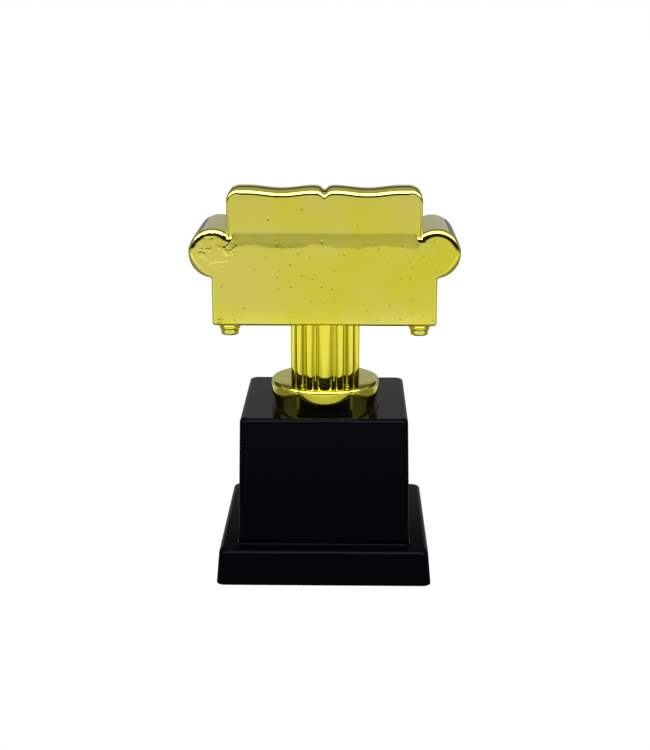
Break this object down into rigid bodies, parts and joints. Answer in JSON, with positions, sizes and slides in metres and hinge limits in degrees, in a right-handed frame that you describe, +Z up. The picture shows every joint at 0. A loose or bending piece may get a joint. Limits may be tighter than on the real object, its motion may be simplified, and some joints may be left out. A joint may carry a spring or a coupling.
{
  "type": "figure trophy",
  "caption": "Desk trophy: a gold-plated miniature two-seat sofa on a fluted column and petalled foot, clamped by a tie rod to a black two-step plinth.",
  "frame": {"origin": "centre of the underside, on the table", "axes": "+Z up; -Y is the side that the sofa faces; +X is to the right for a viewer who looks at the sofa's front"},
  "size_m": [0.0874, 0.07, 0.128],
  "materials": {
    "plated_gold": "bright yellow-gold vacuum plating over moulded plastic, mirror gloss, slightly wavy",
    "plinth_black": "moulded black, polished",
    "zinc_steel": "bright zinc plate",
    "ballast_iron": "rough cast, blackened",
    "fibreboard": "hardboard, smooth face",
    "foam": "closed-cell foam sheet, matt"
  },
  "bodies": {
    "base": {"base_shell": "plinth_black", "ballast_block": "ballast_iron", "bottom_cover": "fibreboard", "foam_pad": "foam"},
    "figure": {"tie_rod": "zinc_steel", "base_washer": "zinc_steel", "spring_washer": "zinc_steel", "base_nut": "zinc_steel", "captive_nut": "zinc_steel", "foot_rosette": "plated_gold", "fluted_column": "plated_gold", "sofa_body": "plated_gold", "sofa_back_cover": "plated_gold", "seat_cushion_left": "plated_gold", "seat_cushion_right": "plated_gold", "back_cushion_left": "plated_gold", "back_cushion_right": "plated_gold", "front_foot_left": "plated_gold", "front_foot_right": "plated_gold", "rear_foot_left": "plated_gold", "rear_foot_right": "plated_gold"}
  },
  "joints": [
    {"name": "figure_turn", "type": "hinge", "parent": "base", "child": "figure", "pos_m": [0, 0, 0.0545], "axis": [0, 0, 1], "continuous": true}
  ]
}
